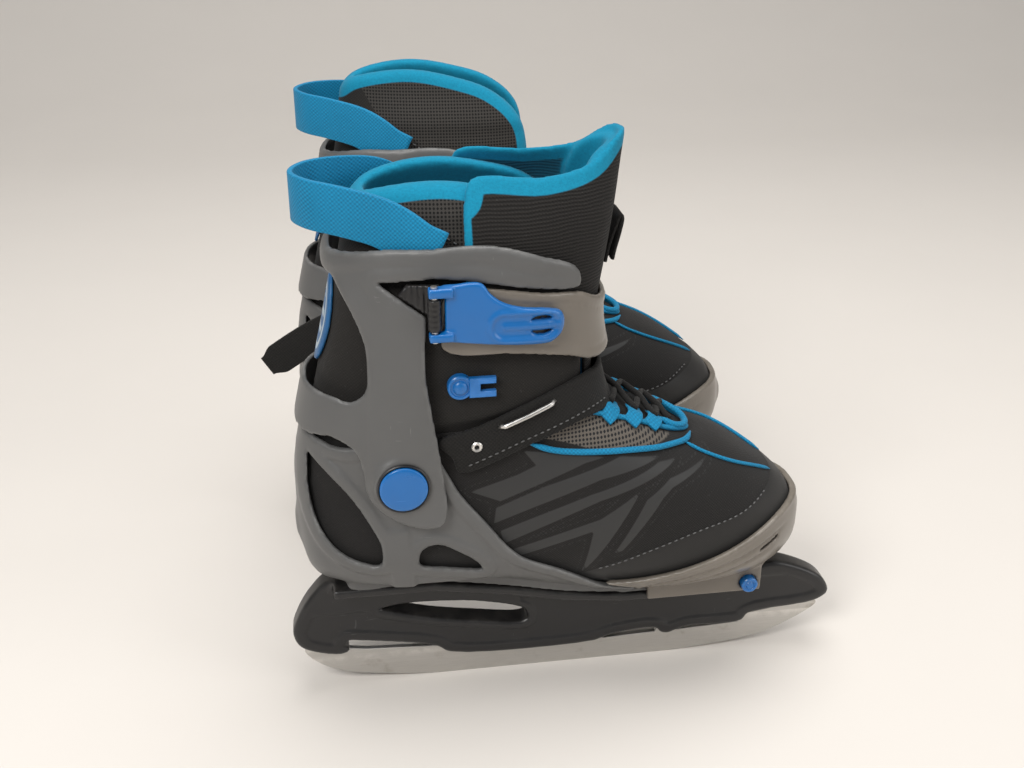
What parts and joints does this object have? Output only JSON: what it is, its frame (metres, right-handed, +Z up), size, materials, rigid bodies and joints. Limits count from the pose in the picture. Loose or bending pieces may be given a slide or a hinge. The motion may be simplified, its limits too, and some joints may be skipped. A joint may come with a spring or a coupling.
{
  "type": "ice skates",
  "caption": "Pair of soft-boot ice skates with hinged cuffs, buckled shin straps and toes that slide out to adjust the size.",
  "frame": {"origin": "below the middle of the pair's box, on the surface that the blades stand on", "axes": "+X towards the toes, +Y towards the left skate, +Z up"},
  "size_m": [0.3044, 0.2652, 0.289],
  "materials": {
    "steel": "ground blade steel with fine scratches along it",
    "bolt_steel": "plated steel",
    "black_plastic": "moulded black plastic, semi-gloss",
    "dark_grey_plastic": "moulded dark grey plastic with a satin sheen",
    "warm_grey_plastic": "moulded warm grey plastic, semi-gloss",
    "blue_plastic": "moulded bright blue plastic",
    "black_fabric": "black textile with printed grey stripes",
    "ribbed_fabric": "black textile with fine ribs",
    "black_webbing": "black hook-and-loop webbing",
    "blue_webbing": "woven blue webbing",
    "badge": "printed oval patch in blue and white",
    "felt": "needled felt insole"
  },
  "bodies": {
    "right_chassis": {"right_blade": "steel", "right_blade_holder": "black_plastic", "right_holder_bolt_rear": "bolt_steel", "right_holder_bolt_front": "bolt_steel", "right_heel_frame": "dark_grey_plastic", "right_pivot_cap_outer": "blue_plastic", "right_pivot_cap_inner": "blue_plastic", "right_ankle_liner": "black_fabric", "right_insole": "felt", "right_strap_ring": "bolt_steel", "right_instep_strap": "black_webbing"},
    "right_toe": {"right_toe_shell": "warm_grey_plastic", "right_forefoot_upper": "black_fabric", "right_lace_guide": "blue_webbing", "right_lace": "black_webbing", "right_button_spring": "bolt_steel"},
    "right_button": {"right_size_button": "blue_plastic"},
    "right_cuff": {"right_cuff": "dark_grey_plastic", "right_collar_liner": "black_fabric", "right_tongue": "ribbed_fabric", "right_heel_badge": "badge", "right_pull_loop": "blue_webbing", "right_lace_hook": "blue_plastic", "right_buckle_ladder": "black_plastic", "right_strap_anchor": "warm_grey_plastic", "right_tongue_tab": "black_webbing"},
    "right_strap": {"right_shin_strap": "warm_grey_plastic", "right_buckle_base": "black_plastic", "right_buckle_pin": "bolt_steel"},
    "right_lever": {"right_buckle_lever": "blue_plastic"},
    "left_chassis": {"left_blade": "steel", "left_blade_holder": "black_plastic", "left_holder_bolt_rear": "bolt_steel", "left_holder_bolt_front": "bolt_steel", "left_heel_frame": "dark_grey_plastic", "left_pivot_cap_outer": "blue_plastic", "left_pivot_cap_inner": "blue_plastic", "left_ankle_liner": "black_fabric", "left_insole": "felt", "left_strap_ring": "bolt_steel", "left_instep_strap": "black_webbing"},
    "left_toe": {"left_toe_shell": "warm_grey_plastic", "left_forefoot_upper": "black_fabric", "left_lace_guide": "blue_webbing", "left_lace": "black_webbing", "left_button_spring": "bolt_steel"},
    "left_button": {"left_size_button": "blue_plastic"},
    "left_cuff": {"left_cuff": "dark_grey_plastic", "left_collar_liner": "black_fabric", "left_tongue": "ribbed_fabric", "left_heel_badge": "badge", "left_pull_loop": "blue_webbing", "left_lace_hook": "blue_plastic", "left_buckle_ladder": "black_plastic", "left_strap_anchor": "warm_grey_plastic"},
    "left_strap": {"left_shin_strap": "warm_grey_plastic", "left_buckle_base": "black_plastic", "left_buckle_pin": "bolt_steel"},
    "left_lever": {"left_buckle_lever": "blue_plastic"}
  },
  "joints": [
    {"name": "left_skate_lift", "type": "slide", "parent": "right_chassis", "child": "left_chassis", "axis": [0, 0, 1], "range_m": [0, 0.35]},
    {"name": "right_cuff_tilt", "type": "hinge", "parent": "right_chassis", "child": "right_cuff", "pos_m": [-0.07584, -0.0826, 0.139], "axis": [-0.048, 0.9988, 0], "range_deg": [-5, 6], "stiffness_Nm_per_rad": 6},
    {"name": "right_toe_extend", "type": "slide", "parent": "right_chassis", "child": "right_toe", "axis": [0.9988, 0.048, 0], "range_m": [0, 0.018]},
    {"name": "right_button_press", "type": "slide", "parent": "right_toe", "child": "right_button", "axis": [-0.048, 0.9988, 0], "range_m": [0, 0.002], "stiffness_N_per_m": 300, "deforming": ["right_button_spring"]},
    {"name": "right_strap_open", "type": "hinge", "parent": "right_cuff", "child": "right_strap", "pos_m": [-0.00494, -0.03711, 0.208], "axis": [0, 0, 1], "range_deg": [0, 60], "stiffness_Nm_per_rad": 0.35},
    {"name": "right_lever_open", "type": "hinge", "parent": "right_strap", "child": "right_lever", "pos_m": [-0.05758, -0.12932, 0.223], "axis": [0, 0, -1], "range_deg": [0, 110]},
    {"name": "left_cuff_tilt", "type": "hinge", "parent": "left_chassis", "child": "left_cuff", "pos_m": [-0.08184, 0.0826, 0.139], "axis": [0.048, 0.9988, 0], "range_deg": [-5, 6], "stiffness_Nm_per_rad": 6},
    {"name": "left_toe_extend", "type": "slide", "parent": "left_chassis", "child": "left_toe", "axis": [0.9988, -0.048, 0], "range_m": [0, 0.018]},
    {"name": "left_button_press", "type": "slide", "parent": "left_toe", "child": "left_button", "axis": [-0.048, -0.9988, 0], "range_m": [0, 0.002], "stiffness_N_per_m": 300, "deforming": ["left_button_spring"]},
    {"name": "left_strap_open", "type": "hinge", "parent": "left_cuff", "child": "left_strap", "pos_m": [-0.01094, 0.03711, 0.208], "axis": [0, 0, -1], "range_deg": [0, 60], "stiffness_Nm_per_rad": 0.35},
    {"name": "left_lever_open", "type": "hinge", "parent": "left_strap", "child": "left_lever", "pos_m": [-0.06358, 0.12932, 0.223], "axis": [0, 0, 1], "range_deg": [0, 110]}
  ]
}
